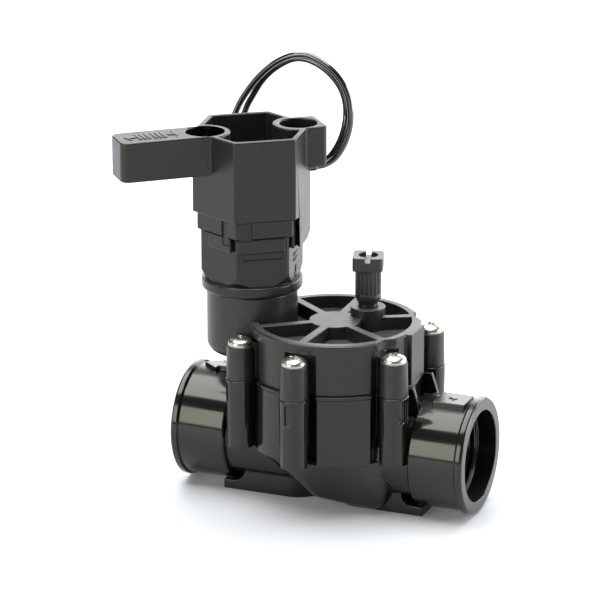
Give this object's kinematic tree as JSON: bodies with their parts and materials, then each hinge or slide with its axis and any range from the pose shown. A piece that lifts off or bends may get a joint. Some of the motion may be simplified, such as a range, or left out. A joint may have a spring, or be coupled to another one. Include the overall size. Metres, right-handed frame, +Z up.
{
  "type": "solenoid valve",
  "caption": "Globe-pattern irrigation solenoid valve with threaded ports, screwed bonnet, tall coil housing with a lever handle, bleed screw and two lead wires.",
  "frame": {"origin": "underside of the foot, straight below the centre of the bonnet", "axes": "+X along the flow axis towards the inlet port, +Y towards the rear, where the leads lie, +Z up through the bonnet"},
  "size_m": [0.1304, 0.1194, 0.1577],
  "materials": {
    "moulded_body": "glossy black glass-filled moulding",
    "moulded_bonnet": "satin black moulding, stippled top faces",
    "screw_steel": "bright plated steel",
    "moulded_solenoid": "satin black moulding",
    "moulded_handle": "satin black moulding",
    "moulded_bleed": "satin black moulding",
    "rubber": "moulded rubber",
    "plate_plastic": "moulded plastic",
    "acetal": "off-white moulding",
    "stainless": "turned stainless steel",
    "spring_steel": "drawn stainless wire",
    "frame_steel": "plated mild steel",
    "bobbin_plastic": "moulded nylon",
    "copper_winding": "enamelled copper wire",
    "lead_insulation": "glossy black insulation",
    "bare_copper": "bare stranded copper"
  },
  "bodies": {
    "valve": {"valve_body": "moulded_body", "bonnet": "moulded_bonnet", "bonnet_screws": "screw_steel", "lead_a": "lead_insulation", "lead_b": "lead_insulation", "bare_end_a": "bare_copper", "bare_end_b": "bare_copper"},
    "diaphragm_group": {"diaphragm": "rubber", "upper_plate": "plate_plastic", "lower_plate": "plate_plastic", "seat_disc": "rubber", "guide_cage": "acetal", "centre_bolt": "stainless", "centre_nut": "stainless", "metering_plug": "acetal", "diaphragm_spring": "spring_steel"},
    "solenoid_seal": {"solenoid_o_ring": "rubber"},
    "solenoid": {"solenoid_housing": "moulded_solenoid", "solenoid_nose": "moulded_solenoid", "flux_frame": "frame_steel", "bobbin": "bobbin_plastic", "coil_winding": "copper_winding", "guide_tube": "stainless", "pole_piece": "stainless", "plunger_spring": "spring_steel", "handle_cap": "moulded_handle", "lead_grommet": "lead_insulation"},
    "plunger": {"plunger": "stainless", "plunger_seal": "rubber"},
    "bleed_seal": {"bleed_o_ring": "rubber"},
    "bleed_screw": {"bleed_screw": "moulded_bleed"}
  },
  "joints": [
    {"name": "diaphragm_lift", "type": "slide", "parent": "valve", "child": "diaphragm_group", "axis": [0, 0, 1], "range_m": [0, 0.005], "stiffness_N_per_m": 400, "springref_m": -0.006, "deforming": ["diaphragm_spring", "diaphragm"]},
    {"name": "solenoid_rise", "type": "slide", "parent": "valve", "child": "solenoid_seal", "axis": [0, 0, 1], "range_m": [0, 0.000375]},
    {"name": "solenoid_turn", "type": "hinge", "parent": "solenoid_seal", "child": "solenoid", "pos_m": [-0.0324, 0, 0.09], "axis": [0, 0, 1], "range_deg": [0, 90], "deforming": ["lead_a", "lead_b"]},
    {"name": "plunger_lift", "type": "slide", "parent": "solenoid", "child": "plunger", "axis": [0, 0, 1], "range_m": [0, 0.0015], "stiffness_N_per_m": 300, "springref_m": -0.003, "deforming": ["plunger_spring"]},
    {"name": "bleed_rise", "type": "slide", "parent": "valve", "child": "bleed_seal", "axis": [0, 0, 1], "range_m": [0, 0.00125]},
    {"name": "bleed_turn", "type": "hinge", "parent": "bleed_seal", "child": "bleed_screw", "pos_m": [0.009, 0.0095, 0.08], "axis": [0, 0, 1], "range_deg": [0, 360]}
  ],
  "couplings": [
    {"joint": "solenoid_turn", "follows": "solenoid_rise", "rad_per_m": 4188.8},
    {"joint": "bleed_turn", "follows": "bleed_rise", "rad_per_m": 5026.5}
  ]
}
